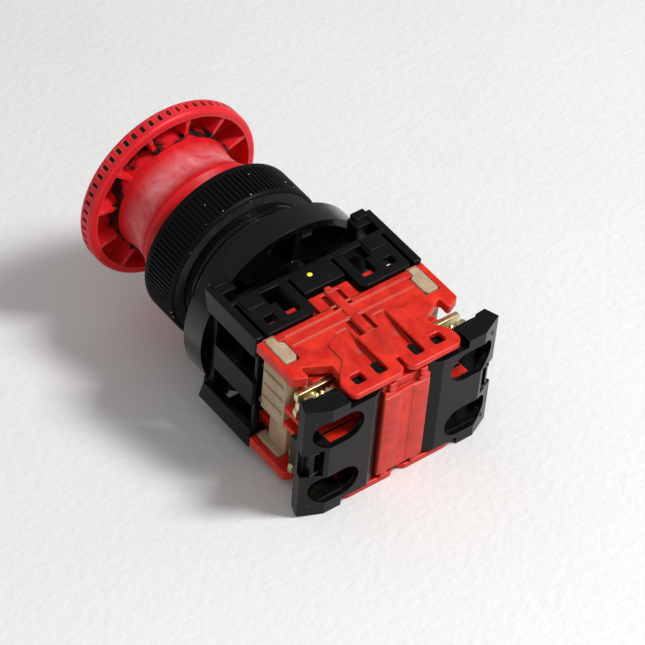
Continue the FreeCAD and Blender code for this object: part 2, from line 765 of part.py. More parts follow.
def contact_block():
    """Red moulding: two plates joined by a narrower middle, with chambers for the two poles."""
    body = new_body("contact")
    inner = "(block_half_height - plate_depth)"
    tall = ("-%s - 0.2" % inner, inner + " + 0.2")
    extrude(body, [box_points("-middle_half_width", "middle_half_width", *tall)], "flange_rear", "base_rear")
    core = box_points("-core_half_width", "core_half_width", *tall)
    extrude(body, [core], "block_rear", "flange_rear + 0.5")
    both_faces(body, [plan(FLANGE_PLAN)], inner, "block_half_height")
    # shelves between the upper and the lower terminals, and the partition between the ovals
    shelf_x = ("-base_half_width + 0.6", "base_half_width - 0.6")
    shelves = [box_points(*shelf_x, "shelf_low", "shelf_low + shelf_wall"),
               box_points(*shelf_x, "shelf_high", "shelf_high + shelf_wall - 0.1")]
    extrude(body, shelves, "-35.0", "-29.6")
    rise = ("-shelf_high", "shelf_high")
    partition = box_points("-partition_half", "partition_half", *rise)
    extrude(body, [partition], "cover_front + 0.2", "flange_rear + 0.5")
    extrude(body, both(box_points("cavity_inner + 0.4", "partition_half", *rise)),
            "cover_rear + cover_wall + 0.2", "cover_front + 0.2")
    # loops, the central ridge and the cross bar stand above the plates
    both_faces(body, both(LOOP_PLAN), "block_half_height - 0.2", "block_half_height + loop_rise")
    both_faces(body, [box_points("-0.9", "0.9", "flange_rear - 4", "-17.4")], "block_half_height - 2.2",
               "block_half_height + ridge_rise")
    both_faces(body, both(box_points("0.8", "clip_inner - 0.6", "-25.0", "-23.8")), "block_half_height - 0.5",
               "block_half_height + ridge_rise")
    # tongue, arms and hooks that reach into the base frame
    tongue = box_points("-4.6", "4.6", "base_rear - 0.5", "-17.0")
    both_faces(body, [tongue], "block_half_height - 2.2", "block_half_height")
    under_deck = "base_half_height - deck_depth"
    arms = both(box_points("12.9", "14.9", "base_rear - 0.5", "-17.9"))
    arms += both(box_points("7.6", "10.3", "base_rear - 0.5", "-17.0"))
    both_faces(body, arms, under_deck + " - 2.4", under_deck + " - 0.2")
    hooks = both(box_points("12.9", "14.9", "-18.7", "-17.9"))
    hooks += both(box_points("7.6", "10.3", "-18.6", "-17.0"))
    both_faces(body, hooks, under_deck + " - 1.0", "base_half_height - 1.1")
    both_faces(body, both(SLOT) + both(CATCH_HOLE), inner + " + 0.3", "block_half_height + 1", cut=True)
    # the loops are thinner than the plates, so that the covers reach under them
    both_faces(body, both(box_points("core_half_width", "14", "-44", "-37.0")), inner + " - 0.5",
               "block_half_height - 1.0", cut=True)
    # rear recess under the gap between the loops, and the groove down the rear face
    extrude(body, [box_points("-2.9", "2.9", inner + " - 1.5", inner + " + 0.4")],
            "block_rear - 1", "block_rear + 3.5", cut=True)
    extrude(body, [box_points("-0.9", "0.9", "-12", "9")], "block_rear - 1", "block_rear + 0.25", cut=True)
    extrude(body, both(CLIP_POCKET), "-20", "20", cut=True, role="XZ_Plane")
    # pole chambers, with a bore for each plunger
    chamber = both(box_points("pole_x - 3.2", "pole_x + 2.6", "-10.6", "10.6"))
    extrude(body, chamber, "flange_rear + 1.2", "base_rear - 1.5", cut=True)
    bores = [("pole_x", "0", "plunger_radius + 0.06"), ("-pole_x", "0", "plunger_radius + 0.06")]
    extrude(body, bores, "base_rear - 2", "base_rear + 1", cut=True)
    # slots that let the terminal strips out, and clearance for the screw ends
    strips = []
    ends = []
    for side in SIDES.values():
        for level in LEVELS.values():
            strips.append(box_points(*mirrored_span(side, "pole_x - 1.6", "pole_x + 1.6"),
                                     *mirrored_span(level, "screw_y + 1.3", "screw_y + 2.3")))
            ends.append((signed(side, "screw_x"), signed(level, "screw_y"), "screw_radius + 0.1"))
    extrude(body, strips, "flange_rear - 1", "flange_rear + 2", cut=True)
    extrude(body, ends, "flange_rear - 1", "flange_rear + 2.2", cut=True)
    finish(body, "contact_block")


def locking_clips():
    """Nylon clips through both plates, wide above the middle and thinner below it."""
    for name, side in SIDES.items():
        wide = mirrored_span(side, "clip_inner", "clip_outer")
        tail = mirrored_span(side, "clip_inner + 0.9", "clip_outer - 0.8")
        thin = mirrored_span(side, "clip_inner", "clip_inner + 1.6")
        under = "(block_half_height - plate_depth - 0.2)"
        pieces = [
            block("clip_side_" + name, wide, ("-3", under), ("-28.8", "-21.8")),
            block("clip_leg_" + name, thin, ("-block_half_height", "-2.9"), ("-28.2", "-23.0")),
        ]
        for level, sign in LEVELS.items():
            height = mirrored_span(sign, under + " - 0.1", "block_half_height")
            pieces.append(block("clip_%s_head_%s" % (level, name), wide, height, ("-28.2", "-23.0")))
            pieces.append(block("clip_%s_tail_%s" % (level, name), tail, height,
                                ("-23.1", "base_rear - 0.05")))
        for step in range(3):
            low = "%s * 3.4" % step
            rib = mirrored_span(side, "clip_outer - 0.1", "clip_outer + 0.35")
            height = (low, low + " + 0.7")
            pieces.append(block("clip_rib_%d_%s" % (step, name), rib, height, ("-28.2", "-22.4")))
        place(join("clip_" + name, pieces), "locking_clip_" + name)


# ---------------------------------------------------------------- contacts


def plungers():
    for name, side in SIDES.items():
        x = signed(side, "pole_x")
        stem = rod("plunger_stem_" + name, "plunger_radius", "-24.4", "plunger_front", x)
        neck = rod("plunger_neck_" + name, "plunger_radius - 0.5", "-25.1", "-24.3", x)
        collar = rod("plunger_collar_" + name, "plunger_radius + 0.4", "-25.7", "-25.0", x)
        pilot = rod("plunger_pilot_" + name, "plunger_radius - 0.9", "-26.8", "-25.6", x)
        place(join("plunger_join_" + name, [stem, neck, collar, pilot]), "plunger_" + name)


def moving_bridges():
    for name, side in SIDES.items():
        x = signed(side, "pole_x")
        strip = block("bridge_strip_" + name, mirrored_span(side, "pole_x - 2.1", "pole_x + 2.1"),
                      ("-8.6", "8.6"), ("-25.0", "-24.4"))
        hole = rod("bridge_hole_" + name, "plunger_radius - 0.45", "-26", "-23", x)
        place(remove("bridge_cut_" + name, strip, [hole]), "contact_bridge_" + name)
        tips = [rod("moving_tip_%s_%s" % (name, level), "1.1", "-24.4", "-23.95", x, signed(sign, "7.0"))
                for level, sign in LEVELS.items()]
        place(group("moving_tip_pair_" + name, tips), "moving_tips_" + name)


def contact_springs():
    for name, side in SIDES.items():
        spring("contact_spring_" + name, "1.55", "0.17", "-25.72 - flange_rear - 1.2", 6,
               standing(signed(side, "pole_x"), "flange_rear + 1.2"))


def terminals():
    """Each terminal is a strip from the fixed tip, through the wall, to the clamp face."""
    for name, side in SIDES.items():
        for level, sign in LEVELS.items():
            tag = "%s_%s" % (level, name)
            x = signed(side, "pole_x")
            span = mirrored_span(side, "pole_x - 2.0", "pole_x + 2.0")
            rail = mirrored_span(side, "pole_x - 1.5", "pole_x + 1.5")
            face = block("terminal_pad_" + tag, span, mirrored_span(sign, "screw_y - 2.1", "screw_y + 2.2"),
                         ("-23.4", "-22.6"))
            leg = block("terminal_leg_" + tag, rail, mirrored_span(sign, "screw_y + 1.4", "screw_y + 2.2"),
                        ("flange_rear - 0.1", "-22.6"))
            clamp = block("terminal_face_" + tag,
                          mirrored_span(side, "pole_x - 1.6", "base_half_width - 0.3"),
                          mirrored_span(sign, "screw_y - 3.2", "screw_y + 3.2"),
                          ("flange_rear - 1.2", "flange_rear - 0.1"))
            hole = rod("terminal_hole_" + tag, "screw_radius + 0.05", "flange_rear - 2", "flange_rear + 1",
                       signed(side, "screw_x"), signed(sign, "screw_y"))
            tip = rod("terminal_tip_" + tag, "1.1", "-23.9", "-23.4", x, signed(sign, "7.0"))
            strip = join("terminal_join_" + tag, [face, leg, clamp, tip])
            place(remove("terminal_cut_" + tag, strip, [hole]), "terminal_" + tag)


def terminal_screws():
    """Pan-head screws with a cross slot, and a square washer under each head."""
    heads = []
    washers = []
    for name, side in SIDES.items():
        for level, sign in LEVELS.items():
            tag = "%s_%s" % (level, name)
            x, y = signed(side, "screw_x"), signed(sign, "screw_y")
            stem = rod("screw_stem_" + tag, "screw_radius", "-36.2", "-30.9", x, y)
            cap = rod("screw_cap_" + tag, "screw_head_radius", "screw_head_rear", "-36.1", x, y)
            slots = []
            for long_x, long_y in (("2.3", "0.4"), ("0.4", "2.3")):
                slots.append(block("screw_slot_%s_%s" % (long_x.replace(".", "_"), tag),
                                   ("%s - %s" % (x, long_x), "%s + %s" % (x, long_x)),
                                   ("%s - %s" % (y, long_y), "%s + %s" % (y, long_y)),
                                   ("screw_head_rear - 1", "screw_head_rear + 1.1")))
            heads.append(remove("screw_" + tag, join("screw_join_" + tag, [stem, cap]), slots))
            plate = block("washer_plate_" + tag, ("%s - 3.7" % x, "%s + 3.7" % x),
                          ("%s - 3.4" % y, "%s + 3.4" % y), ("-36.1", "-35.0"))
            hole = rod("washer_bore_" + tag, "screw_radius + 0.15", "-37", "-34", x, y)
            grooves = [block("washer_groove_%d_%s" % (step, tag), ("%s - 5" % x, "%s + 5" % x),
                             ("%s + %s" % (y, offset), "%s + %s + 0.5" % (y, offset)), ("-35.25", "-34.8"))
                       for step, offset in enumerate(("-2.9", "-1.9", "1.4", "2.4"))]
            washers.append(remove("clamp_washer_" + tag, plate, [hole] + grooves))
    place(group("screw_set", heads), "terminal_screws")
    place(group("washer_set", washers), "clamp_washers")


def terminal_covers():
    """Black covers behind the terminals, with an oval way in to each screw."""
    for name, side in SIDES.items():
        def ordered(points):
            """The half on this side, walked the same way round on both."""
            placed = [(signed(side, point[0]), point[1]) for point in points]
            return placed if side > 0 else placed[::-1]

        body = new_body("cover_" + name)
        shell = ordered([
            ("cover_inner", "cover_rear + 1.2"),
            ("8.0", "cover_rear"),
            ("17.8", "cover_rear"),
            ("22.6", "cover_rear + 2.3"),
            ("21.5", "-37.3"),
            ("19.2", "-37.5"),
            ("18.2", "-38.4"),
            ("15.2", "-38.5"),
            ("14.6", "cover_front"),
            ("cover_inner", "cover_front"),
        ])
        extrude(body, [shell], "-cover_half_height", "cover_half_height", role="XZ_Plane")
        cavity = ordered([
            ("cavity_inner", "cover_rear + cover_wall"),
            ("17.4", "cover_rear + cover_wall"),
            ("20.7", "-39.6"),
            ("20.2", "-36"),
            ("cavity_inner", "-36"),
        ])
        extrude(body, [cavity], "-10.9", "10.9", cut=True, role="XZ_Plane")
        # the inner half is lower, where the loops of the contact block pass over it
        lowered = mirrored_span(side, "cover_inner - 1", "13.9")
        both_ends = [box_points(*lowered, "12.2", "cover_half_height + 1"),
                     box_points(*lowered, "-cover_half_height - 1", "-12.2")]
        extrude(body, both_ends, "-50", "-30", cut=True)
        ovals = [oval_points(signed(side, "15.6"), y, "oval_width", "oval_height") for y in ("7.5", "-7.5")]
        extrude(body, ovals, "cover_rear - 1", "-38.4", cut=True)
        slit = box_points(*mirrored_span(side, "18.6", "20.3"), "notch_low", "notch_high + 0.8")
        extrude(body, [slit], "cover_rear - 1", "-39.2", cut=True)
        # a notch in the outer edge, with a recessed lug that closes it in front
        notch = box_points(*mirrored_span(side, "20.9", "24"), "notch_low", "notch_high")
        extrude(body, [notch], "cover_rear - 1", "-38.6", cut=True)
        lug = box_points(*mirrored_span(side, "19.4", "21.4"), "notch_low - 0.6", "notch_high + 0.6")
        extrude(body, [lug], "-39.4", "-35.4")
        # ribs that close the gaps between the terminals' chambers
        ribs = []
        for level in LEVELS.values():
            for inner, low, high in (("16.6", "2.4", "3.05"), ("12.6", "10.85", "11.7")):
                ribs.append(box_points(*mirrored_span(side, inner, "20.8"), *mirrored_span(level, low, high)))
        extrude(body, ribs, "-41.3", "-36.3")
        finish(body, "terminal_cover_" + name)


mushroom_head()
head_skirt()
skirt_seal()
push_shaft()
latch_pins()
latch_spring()
lock_sleeve()
return_spring()
neck_housing()
ring_nut()
sealing_washer()
actuator_yoke()
base_frame()
contact_block()
locking_clips()
plungers()
moving_bridges()
contact_springs()
terminals()
terminal_screws()
terminal_covers()
doc.recompute()

failed = [thing.Label for thing in doc.Objects if {"Invalid", "Error"} & set(thing.State)]
failed += [node.Label for node in nodes if node.Shape.isNull() or not node.Shape.isValid()]
if failed:
    raise SystemExit("failed: " + ", ".join(failed))
os.makedirs("parts", exist_ok=True)
for node in nodes:
    node.Shape.exportStep("parts/" + node.Label + ".step")
    solids = node.Shape.Solids
    print("%-28s solids %2d  volume %9.2f" % (node.Label, len(solids), sum(solid.Volume for solid in solids)))
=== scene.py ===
import json
import math

import bmesh
import bpy
from mathutils import Matrix, Vector


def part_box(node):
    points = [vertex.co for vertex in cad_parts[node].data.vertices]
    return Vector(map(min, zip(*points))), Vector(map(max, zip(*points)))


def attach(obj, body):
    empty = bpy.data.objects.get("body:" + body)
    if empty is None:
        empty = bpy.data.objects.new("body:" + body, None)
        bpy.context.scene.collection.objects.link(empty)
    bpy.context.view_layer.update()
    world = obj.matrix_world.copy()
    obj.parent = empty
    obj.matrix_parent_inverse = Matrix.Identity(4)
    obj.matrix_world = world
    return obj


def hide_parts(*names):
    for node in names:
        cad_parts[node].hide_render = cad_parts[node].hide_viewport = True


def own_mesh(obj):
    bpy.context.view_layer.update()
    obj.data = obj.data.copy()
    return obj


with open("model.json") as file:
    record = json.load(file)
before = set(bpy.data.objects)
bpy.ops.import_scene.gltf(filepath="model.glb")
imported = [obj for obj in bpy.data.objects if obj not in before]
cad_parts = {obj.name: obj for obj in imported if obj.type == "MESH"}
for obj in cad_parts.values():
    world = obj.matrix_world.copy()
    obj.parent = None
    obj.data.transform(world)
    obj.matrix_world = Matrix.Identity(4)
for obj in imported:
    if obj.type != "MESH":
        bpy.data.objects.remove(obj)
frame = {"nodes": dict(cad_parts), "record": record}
for name in ("Cube", "Light", "Camera"):
    if name in bpy.data.objects:
        bpy.data.objects.remove(bpy.data.objects[name])
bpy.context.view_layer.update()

MM = 0.001
SCENE = bpy.context.scene
SCENE.view_settings.view_transform = "Standard"
BODY_OF = {node: body for body, nodes in frame["record"]["behaviour"]["bodies"].items() for node in nodes}
SIDES = {"left": 1, "right": -1}  # the sign of x
LEVELS = {"upper": 1, "lower": -1}  # the sign of z


# ---------------------------------------------------------------- node materials

SHADER_SAMPLES = 6  # rays of a crevice or edge mask
MIX_A, MIX_B, MIX_RESULT = 6, 7, 2  # a Mix node's colour sockets
FLAT, ROUNDED = 0.995, 0.9  # how well the two normals of an edge mask agree

# head and skirt parts with grime, wear or a painted sheen: radii from the button's axis, and levels along it
NOTCH_RADII = (19.2 * MM, 19.62 * MM)
NOTCH_LEVELS = (-34.7 * MM, -32.7 * MM)
HUB_SEAM = (15.25 * MM, 15.0 * MM)
HUB_FRONT = -35.2 * MM
RIM_RADIUS = 16.5 * MM
WAIST_BACK = (-21.6 * MM, -24.4 * MM)
WAIST_FRONT = (-30.6 * MM, -26.6 * MM)


class Look:
    """A material under construction: short names for the nodes that the finishes share."""

    def __init__(self, name):
        self.material = bpy.data.materials.new(name)
        self.material.use_nodes = True
        self.tree = self.material.node_tree
        self.tree.nodes.clear()
        self.shader = self.tree.nodes.new("ShaderNodeBsdfPrincipled")
        output = self.tree.nodes.new("ShaderNodeOutputMaterial")
        self.tree.links.new(self.shader.outputs["BSDF"], output.inputs["Surface"])
        self.place = self.tree.nodes.new("ShaderNodeTexCoord").outputs["Object"]

    def put(self, kind, inputs=(), **settings):
        """Adds a node. An input is a socket, which is linked, or a value."""
        node = self.tree.nodes.new("ShaderNode" + kind)
        for key, value in settings.items():
            setattr(node, key, value)
        for key, value in dict(inputs).items():
            if isinstance(value, bpy.types.NodeSocket):
                self.tree.links.new(value, node.inputs[key])
            else:
                node.inputs[key].default_value = value
        return node

    def noise(self, size, detail=3.0, rough=0.55, place=None, warp=0.0):
        """A noise whose features are about this size, in metres."""
        node = self.put("TexNoise", {"Vector": place or self.place, "Scale": 1 / size, "Detail": detail,
                                     "Roughness": rough, "Distortion": warp})
        return node.outputs["Fac"]

    def stretched(self, x, y, z):
        return self.put("Mapping", {"Vector": self.place, "Scale": (x, y, z)}).outputs["Vector"]

    def ramp(self, value, low, high, start=0.0, end=1.0):
        """A number spread from low..high to start..end, and held there outside."""
        node = self.put("MapRange", {"Value": value, "From Min": low, "From Max": high,
                                     "To Min": start, "To Max": end})
        return node.outputs["Result"]

    def maths(self, operation, a, b):
        return self.put("Math", {0: a, 1: b}, operation=operation).outputs[0]

    def times(self, a, b):
        return self.maths("MULTIPLY", a, b)

    def between(self, value, low, high):
        """1 between two numbers, and 0 outside."""
        return self.times(self.maths("GREATER_THAN", value, low), self.maths("LESS_THAN", value, high))

    def mix(self, factor, a, b):
        """Mixes two colours, each a socket or three numbers, by a factor socket."""
        node = self.put("Mix", {0: factor}, data_type="RGBA")
        for index, value in ((MIX_A, a), (MIX_B, b)):
            if isinstance(value, bpy.types.NodeSocket):
                self.tree.links.new(value, node.inputs[index])
            else:
                node.inputs[index].default_value = (*value, 1)
        return node.outputs[MIX_RESULT]

    def xyz(self):
        return self.put("SeparateXYZ", {0: self.place}).outputs

    def radius(self):
        """Distance from the button's axis."""
        x, _, z = self.xyz()
        across = self.put("CombineXYZ", {0: x, 2: z}).outputs[0]
        return self.put("VectorMath", {0: across}, operation="LENGTH").outputs["Value"]

    def crevice(self, reach):
        """1 in the open, falling to 0 where surfaces meet within reach."""
        return self.put("AmbientOcclusion", {"Distance": reach}, samples=SHADER_SAMPLES).outputs["AO"]

    def edge(self, width):
        """1 on the edges of faces, falling to 0 this far from them."""
        soft_normal = self.put("Bevel", {"Radius": width}, samples=SHADER_SAMPLES).outputs["Normal"]
        normal = self.put("NewGeometry").outputs["Normal"]
        same = self.put("VectorMath", {0: soft_normal, 1: normal}, operation="DOT_PRODUCT").outputs["Value"]
        return self.ramp(same, FLAT, ROUNDED)

    def bump(self, height, distance, strength, after=None):
        """Relief of this height, on top of the relief after it if there is one."""
        inputs = {"Height": height, "Distance": distance, "Strength": strength}
        if after is not None:
            inputs["Normal"] = after
        return self.put("Bump", inputs).outputs["Normal"]

    def use(self, **sockets):
        """Sets the shader's own inputs: a socket is linked, and a number or colour is set."""
        for key, value in sockets.items():
            target = self.shader.inputs[key.replace("_", " ")]
            if isinstance(value, bpy.types.NodeSocket):
                self.tree.links.new(value, target)
            elif target.type == "RGBA":
                target.default_value = (*value, 1)
            else:
                target.default_value = value
        return self.material


def red_head():
    """Red with grime in the rim's notches and round the hub's seam, and a rim with rubbed edges."""
    deep, bright, grime_colour, rubbed_colour = (
        (0.66, 0.008, 0.016), (0.82, 0.02, 0.028), (0.012, 0.009, 0.009), (0.8, 0.2, 0.2))
    look = Look("red_head_plastic")
    cloud = look.noise(9 * MM, 4, 0.6)
    fine = look.noise(0.5 * MM, 3)
    colour = look.mix(look.ramp(cloud, 0.35, 0.7), deep, bright)
    radius = look.radius()
    y = look.xyz()[1]
    in_notch = look.times(look.between(radius, *NOTCH_RADII), look.between(y, *NOTCH_LEVELS))
    patchy = look.ramp(look.noise(7 * MM, 2), 0.3, 0.42)
    uneven = look.maths("ADD", radius, look.times(look.noise(1.0 * MM), 1.8 * MM))
    seam = look.times(look.ramp(uneven, *HUB_SEAM), look.maths("GREATER_THAN", y, HUB_FRONT))
    grime = look.ramp(look.noise(5 * MM, 3), 0.42, 0.52)
    dirt = look.maths("MAXIMUM", look.times(in_notch, patchy), look.times(grime, seam))
    colour = look.mix(dirt, colour, grime_colour)
    rim_edges = look.times(look.edge(0.35 * MM), look.maths("GREATER_THAN", radius, RIM_RADIUS))
    rubbed = look.times(rim_edges, look.ramp(cloud, 0.3, 0.6, 0.2, 0.75))
    colour = look.mix(rubbed, colour, rubbed_colour)
    normal = look.bump(fine, 0.02 * MM, 0.6)
    return look.use(Base_Color=colour, Roughness=look.ramp(cloud, 0.3, 0.7, 0.36, 0.5), Normal=normal,
                    Subsurface_Weight=0.12, Subsurface_Radius=(1.0, 0.08, 0.05), Subsurface_Scale=1.2 * MM,
                    Specular_IOR_Level=0.3)


def red_skirt():
    """Red with a painted pale sheen round the waist, in streaks along the axis."""
    deep, bright, sheen_colour = (0.58, 0.006, 0.01), (0.72, 0.012, 0.018), (0.84, 0.34, 0.36)
    look = Look("red_skirt_plastic")
    y = look.xyz()[1]
    cloud = look.noise(6 * MM, 5, 0.65, warp=0.6)
    streaks = look.noise(2.2 * MM, 5, 0.7, place=look.stretched(1, 0.35, 1))
    waist = look.times(look.ramp(y, *WAIST_BACK), look.ramp(y, *WAIST_FRONT))
    # painted sheen: the waist is paled where the light's soft reflection would lie
    waist_sheen = look.times(waist, look.ramp(look.maths("ADD", cloud, look.times(streaks, 0.45)), 0.45, 0.95))
    red = look.mix(look.ramp(streaks, 0.3, 0.7), deep, bright)
    colour = look.mix(look.times(waist_sheen, 0.8), red, sheen_colour)
    normal = look.bump(look.noise(0.4 * MM, 3), 0.015 * MM, 0.6)
    return look.use(Base_Color=colour, Roughness=look.ramp(waist_sheen, 0, 1, 0.34, 0.6), Normal=normal,
                    Subsurface_Weight=0.1, Subsurface_Radius=(1.0, 0.08, 0.05), Subsurface_Scale=1.2 * MM,
                    Specular_IOR_Level=0.3)


def black_plastic(name, base, light, roughness, grain, gloss, dust=0.0, wet=0.0):
    """Satin black with a painted highlight on the edges, in the colour light. Dust is the size of its specks,
    and wet is a clear film.
    """
    dust_colour, dust_spacing, bare_share = (0.7, 0.7, 0.67), 2.0 * MM, 0.45
    look = Look(name)
    cloud = look.noise(7 * MM, 5, 0.65)
    colour = look.mix(look.ramp(cloud, 0.35, 0.7), base, tuple(1.5 * part for part in base))
    # painted highlight: the edges are mixed towards the colour light
    colour = look.mix(look.times(look.edge(0.2 * MM), 0.7), colour, light)
    if dust:
        cell = look.put("TexVoronoi", {"Vector": look.place, "Scale": 1 / dust_spacing, "Randomness": 1.0})
        speck = look.maths("LESS_THAN", cell.outputs["Distance"], dust)
        chance = look.put("SeparateXYZ", {0: cell.outputs["Color"]}).outputs[0]
        speck = look.times(speck, look.maths("GREATER_THAN", chance, bare_share))
        colour = look.mix(speck, colour, dust_colour)
    normal = look.bump(look.noise(grain, 4, 0.6), 0.03 * MM, 0.5)
    uneven = look.ramp(cloud, 0.3, 0.7, roughness - 0.06, roughness + 0.08)
    return look.use(Base_Color=colour, Roughness=uneven, Normal=normal, Specular_IOR_Level=gloss,
                    Coat_Weight=wet, Coat_Roughness=0.09)


def red_block():
    """Slightly translucent red, mottled, with painted shade in the crevices and painted highlights on edges.
    """
    deep, bright, crevice_shade_colour, edge_highlight_colour = (
        (0.54, 0.008, 0.003), (0.78, 0.028, 0.01), (0.34, 0.003, 0.002), (0.9, 0.2, 0.13))
    look = Look("red_block_plastic")
    cloud = look.noise(3.5 * MM, 4, 0.6, warp=0.5)
    fine = look.noise(0.35 * MM, 3)
    colour = look.mix(look.ramp(cloud, 0.36, 0.66), deep, bright)
    # painted shade: darker where surfaces meet
    colour = look.mix(look.ramp(look.crevice(1.6 * MM), 0.75, 0.3), colour, crevice_shade_colour)
    # painted highlight: the edges are made paler, as light through thin plastic shows them
    colour = look.mix(look.times(look.edge(0.3 * MM), 0.75), colour, edge_highlight_colour)
    normal = look.bump(fine, 0.02 * MM, 0.5)
    return look.use(Base_Color=colour, Roughness=look.ramp(cloud, 0.3, 0.7, 0.3, 0.42), Normal=normal,
                    Subsurface_Weight=0.4, Subsurface_Radius=(1.0, 0.1, 0.05), Subsurface_Scale=2.0 * MM,
                    Specular_IOR_Level=0.38)


def nylon():
    """Beige and waxy, with light inside."""
    look = Look("natural_nylon")
    cloud = look.noise(3 * MM, 4)
    colour = look.mix(look.ramp(cloud, 0.35, 0.7), (0.4, 0.28, 0.17), (0.52, 0.39, 0.26))
    normal = look.bump(look.noise(0.5 * MM, 3), 0.03 * MM, 0.6)
    return look.use(Base_Color=colour, Roughness=look.ramp(cloud, 0.3, 0.7, 0.42, 0.55), Normal=normal,
                    Subsurface_Weight=0.3, Subsurface_Radius=(1.0, 0.7, 0.45), Subsurface_Scale=1.0 * MM)


def brass():
    """Yellow chromate plating, blotched, and brown in the crevices."""
    look = Look("chromated_brass")
    cloud = look.noise(1.6 * MM, 5, 0.7)
    colour = look.mix(look.ramp(cloud, 0.35, 0.65), (0.66, 0.56, 0.28), (0.86, 0.8, 0.52))
    colour = look.mix(look.ramp(look.crevice(0.5 * MM), 0.55, 0.2), colour, (0.16, 0.09, 0.03))
    normal = look.bump(look.noise(0.25 * MM, 4), 0.03 * MM, 0.7)
    return look.use(Base_Color=colour, Metallic=1.0, Roughness=look.ramp(cloud, 0.3, 0.7, 0.22, 0.42),
                    Normal=normal)


def plain_metal(name, colour, roughness):
    look = Look(name)
    cloud = look.noise(1.2 * MM, 4)
    shade = look.mix(look.ramp(cloud, 0.3, 0.7), tuple(0.8 * part for part in colour), colour)
    normal = look.bump(look.noise(0.2 * MM, 3), 0.01 * MM, 0.5)
    uneven = look.ramp(cloud, 0.3, 0.7, roughness, roughness + 0.12)
    return look.use(Base_Color=shade, Metallic=1.0, Roughness=uneven, Normal=normal)


def rubber():
    look = Look("black_rubber")
    cloud = look.noise(2 * MM, 4)
    colour = look.mix(look.ramp(cloud, 0.3, 0.7), (0.012, 0.012, 0.013), (0.03, 0.03, 0.032))
    normal = look.bump(look.noise(0.3 * MM, 4), 0.04 * MM, 0.6)
    return look.use(Base_Color=colour, Roughness=look.ramp(cloud, 0.3, 0.7, 0.55, 0.7), Normal=normal)


def paint():
    look = Look("yellow_paint")
    cloud = look.noise(0.5 * MM, 3)
    colour = look.mix(look.ramp(cloud, 0.35, 0.65), (0.88, 0.78, 0.02), (0.95, 0.9, 0.12))
    normal = look.bump(look.noise(0.2 * MM, 3), 0.05 * MM, 0.7)
    return look.use(Base_Color=colour, Roughness=look.ramp(cloud, 0.3, 0.7, 0.35, 0.5), Normal=normal)


def paper():
    """Pale textured paper: soft dimples with a finer grain over them."""
    look = Look("pale_paper")
    cloud = look.noise(60 * MM, 3)
    colour = look.mix(look.ramp(cloud, 0.3, 0.7), (0.83, 0.835, 0.825), (0.86, 0.862, 0.855))
    dimples = look.bump(look.noise(1.9 * MM, 2, 0.5), 0.32 * MM, 0.6)
    grain = look.bump(look.noise(0.35 * MM, 3), 0.05 * MM, 0.5, after=dimples)
    return look.use(Base_Color=colour, Roughness=look.ramp(cloud, 0.3, 0.7, 0.75, 0.85), Normal=grain,
                    Specular_IOR_Level=0.25)


LOOKS = {
    "head": red_head(),
    "skirt": red_skirt(),
    "block": red_block(),
    "ring": black_plastic("black_ring", base=(0.002, 0.002, 0.0025), light=(0.012, 0.012, 0.013),
                          roughness=0.5, grain=0.35 * MM, gloss=0.1, dust=0.085),
    "neck": black_plastic("black_neck", base=(0.0015, 0.0015, 0.002), light=(0.01, 0.01, 0.012),
                          roughness=0.24, grain=0.5 * MM, gloss=0.2, wet=0.35),
    "base": black_plastic("black_base", base=(0.0025, 0.0025, 0.0032), light=(0.018, 0.019, 0.022),
                          roughness=0.33, grain=0.4 * MM, gloss=0.16),
    "cover": black_plastic("black_cover", base=(0.003, 0.003, 0.0033), light=(0.035, 0.035, 0.038),
                           roughness=0.24, grain=0.4 * MM, gloss=0.13, wet=0.12),
    "nylon": nylon(),
    "brass": brass(),
    "steel": plain_metal("spring_steel", (0.62, 0.62, 0.63), roughness=0.25),
    "silver": plain_metal("silver_tips", (0.86, 0.85, 0.82), roughness=0.3),
    "rubber": rubber(),
    "paint": paint(),
    "paper": paper(),
}


# ---------------------------------------------------------------- pieces from the frame

# degrees between two faces: under the first they become one face, and over the others their edge is
# bevelled or stays sharp in the shading
FLAT_ANGLE = 0.6
BEVEL_ANGLE = 28
COVER_BEVEL_ANGLE = 15
DRESSED_SHARP_ANGLE = 60
MOULDED_SHARP_ANGLE = 40
WELD_DISTANCE = 2e-6
SLAB_WELD_DISTANCE = 1e-6


def weld(mesh):
    """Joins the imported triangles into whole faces, which bevels need."""
    work = bmesh.new()
    work.from_mesh(mesh)
    bmesh.ops.remove_doubles(work, verts=work.verts, dist=WELD_DISTANCE)
    bmesh.ops.dissolve_limit(work, angle_limit=math.radians(FLAT_ANGLE), verts=work.verts, edges=work.edges)
    work.to_mesh(mesh)
    work.free()


def settle(piece):
    """Applies the modifiers, so that the piece's mesh is what shows."""
    bpy.context.view_layer.update()
    graph = bpy.context.evaluated_depsgraph_get()
    mesh = bpy.data.meshes.new_from_object(piece.evaluated_get(graph))
    piece.modifiers.clear()
    piece.data = mesh


def add(name, mesh, look, body):
    """Makes a piece with one look, which rides a body."""
    piece = bpy.data.objects.new(name, mesh)
    SCENE.collection.objects.link(piece)
    if mesh.materials:  # clearing an empty list would still set every face to the first look
        mesh.materials.clear()
    mesh.materials.append(LOOKS[look])
    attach(piece, body)
    return piece


def soften(piece, width, angle):
    """Rounds the edges that are sharper than an angle."""
    bevel = piece.modifiers.new("round", "BEVEL")
    bevel.width = width
    bevel.segments = 2
    bevel.limit_method = "ANGLE"
    bevel.angle_limit = math.radians(angle)
    bevel.use_clamp_overlap = True
    bevel.miter_outer = "MITER_ARC"
    even = piece.modifiers.new("even", "WEIGHTED_NORMAL")
    even.keep_sharp = True
    piece.data.shade_smooth()
    piece.data.set_sharp_from_angle(angle=math.radians(DRESSED_SHARP_ANGLE))
    settle(piece)


